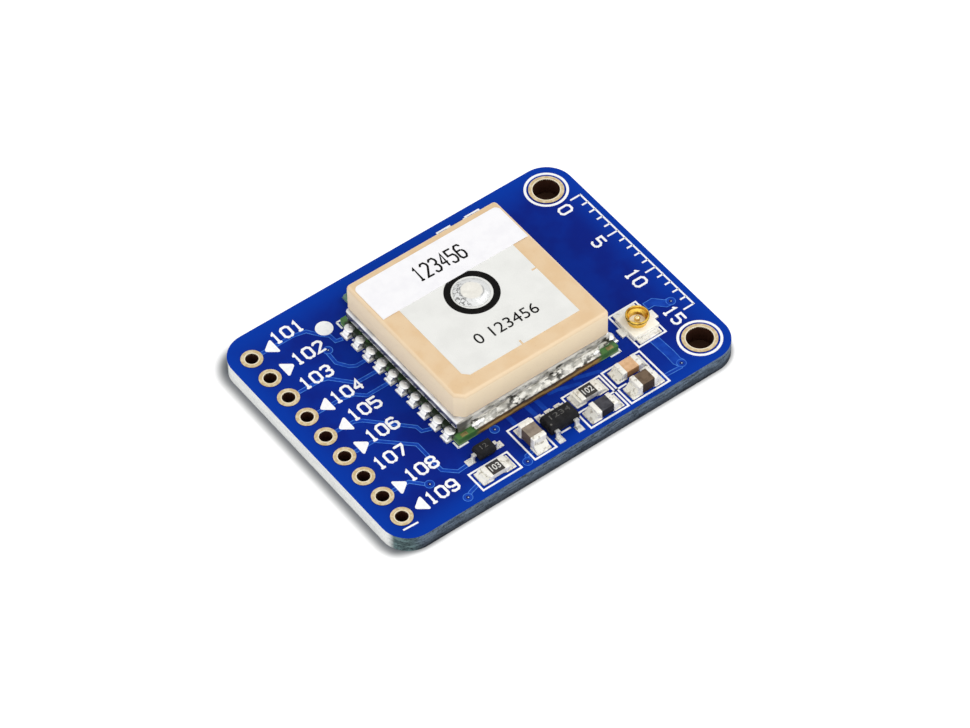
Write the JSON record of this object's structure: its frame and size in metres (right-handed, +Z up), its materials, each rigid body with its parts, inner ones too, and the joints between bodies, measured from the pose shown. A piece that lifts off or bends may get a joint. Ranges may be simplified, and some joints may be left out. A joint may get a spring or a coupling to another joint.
{
  "type": "gps receiver breakout board",
  "caption": "Flat breakout board with a square satellite receiver module, ceramic patch antenna, coax antenna socket, supply parts, header holes and mounting holes.",
  "frame": {"origin": "centre of the board's underside", "axes": "+X along the board's long side from the header row to the mounting holes, +Y along the header row, +Z up out of the component side"},
  "size_m": [0.0342, 0.0254, 0.0066],
  "materials": {
    "gold_plating": "pale gold plating",
    "board_mask": "blue solder mask over glass laminate",
    "solder": "tinned",
    "module_laminate": "green solder mask",
    "black_mould": "moulded black",
    "chip_ceramic": "fired chip body",
    "tin_sheet": "tinned sheet",
    "capacitor_tan": "tan ceramic",
    "tape": "double-sided adhesive pad",
    "silver_print": "fired silver",
    "antenna_ceramic": "matt beige ceramic",
    "lead_metal": "tinned metal",
    "label_paper": "white paper label",
    "coax_insulator": "cream insulator",
    "coax_gold": "gold plated",
    "resistor_glaze": "black glaze",
    "capacitor_grey": "grey ceramic",
    "capacitor_dark": "dark grey ceramic",
    "capacitor_brown": "brown ceramic",
    "led_base": "white base",
    "led_lens": "clear green-tinted lens"
  },
  "bodies": {
    "root": {"header_eyelets": "gold_plating", "mount_eyelets": "gold_plating", "main_board": "board_mask", "lands": "solder", "module_board": "module_laminate", "module_joints": "solder", "can_solder": "solder", "feed_solder": "solder", "chip_solder": "solder", "receiver_chip": "black_mould", "amplifier_chip": "black_mould", "regulator_body": "black_mould", "diode_body": "black_mould", "rf_filter": "chip_ceramic", "resistor_bodies": "chip_ceramic", "crystal": "tin_sheet", "shield_can": "tin_sheet", "module_passives": "capacitor_tan", "antenna_tape": "tape", "antenna_ground": "silver_print", "antenna_electrode": "silver_print", "patch_antenna": "antenna_ceramic", "feed_pin": "lead_metal", "antenna_label": "label_paper", "coax_base": "coax_insulator", "coax_shell": "coax_gold", "coax_pin": "coax_gold", "regulator_leads": "lead_metal", "diode_leads": "lead_metal", "resistor_ends": "lead_metal", "capacitor_ends": "lead_metal", "led_ends": "lead_metal", "resistor_films": "resistor_glaze", "capacitor_large": "capacitor_grey", "capacitor_grey": "capacitor_dark", "capacitor_tan": "capacitor_tan", "capacitor_brown": "capacitor_brown", "led_base": "led_base", "led_lens": "led_lens"}
  },
  "joints": []
}
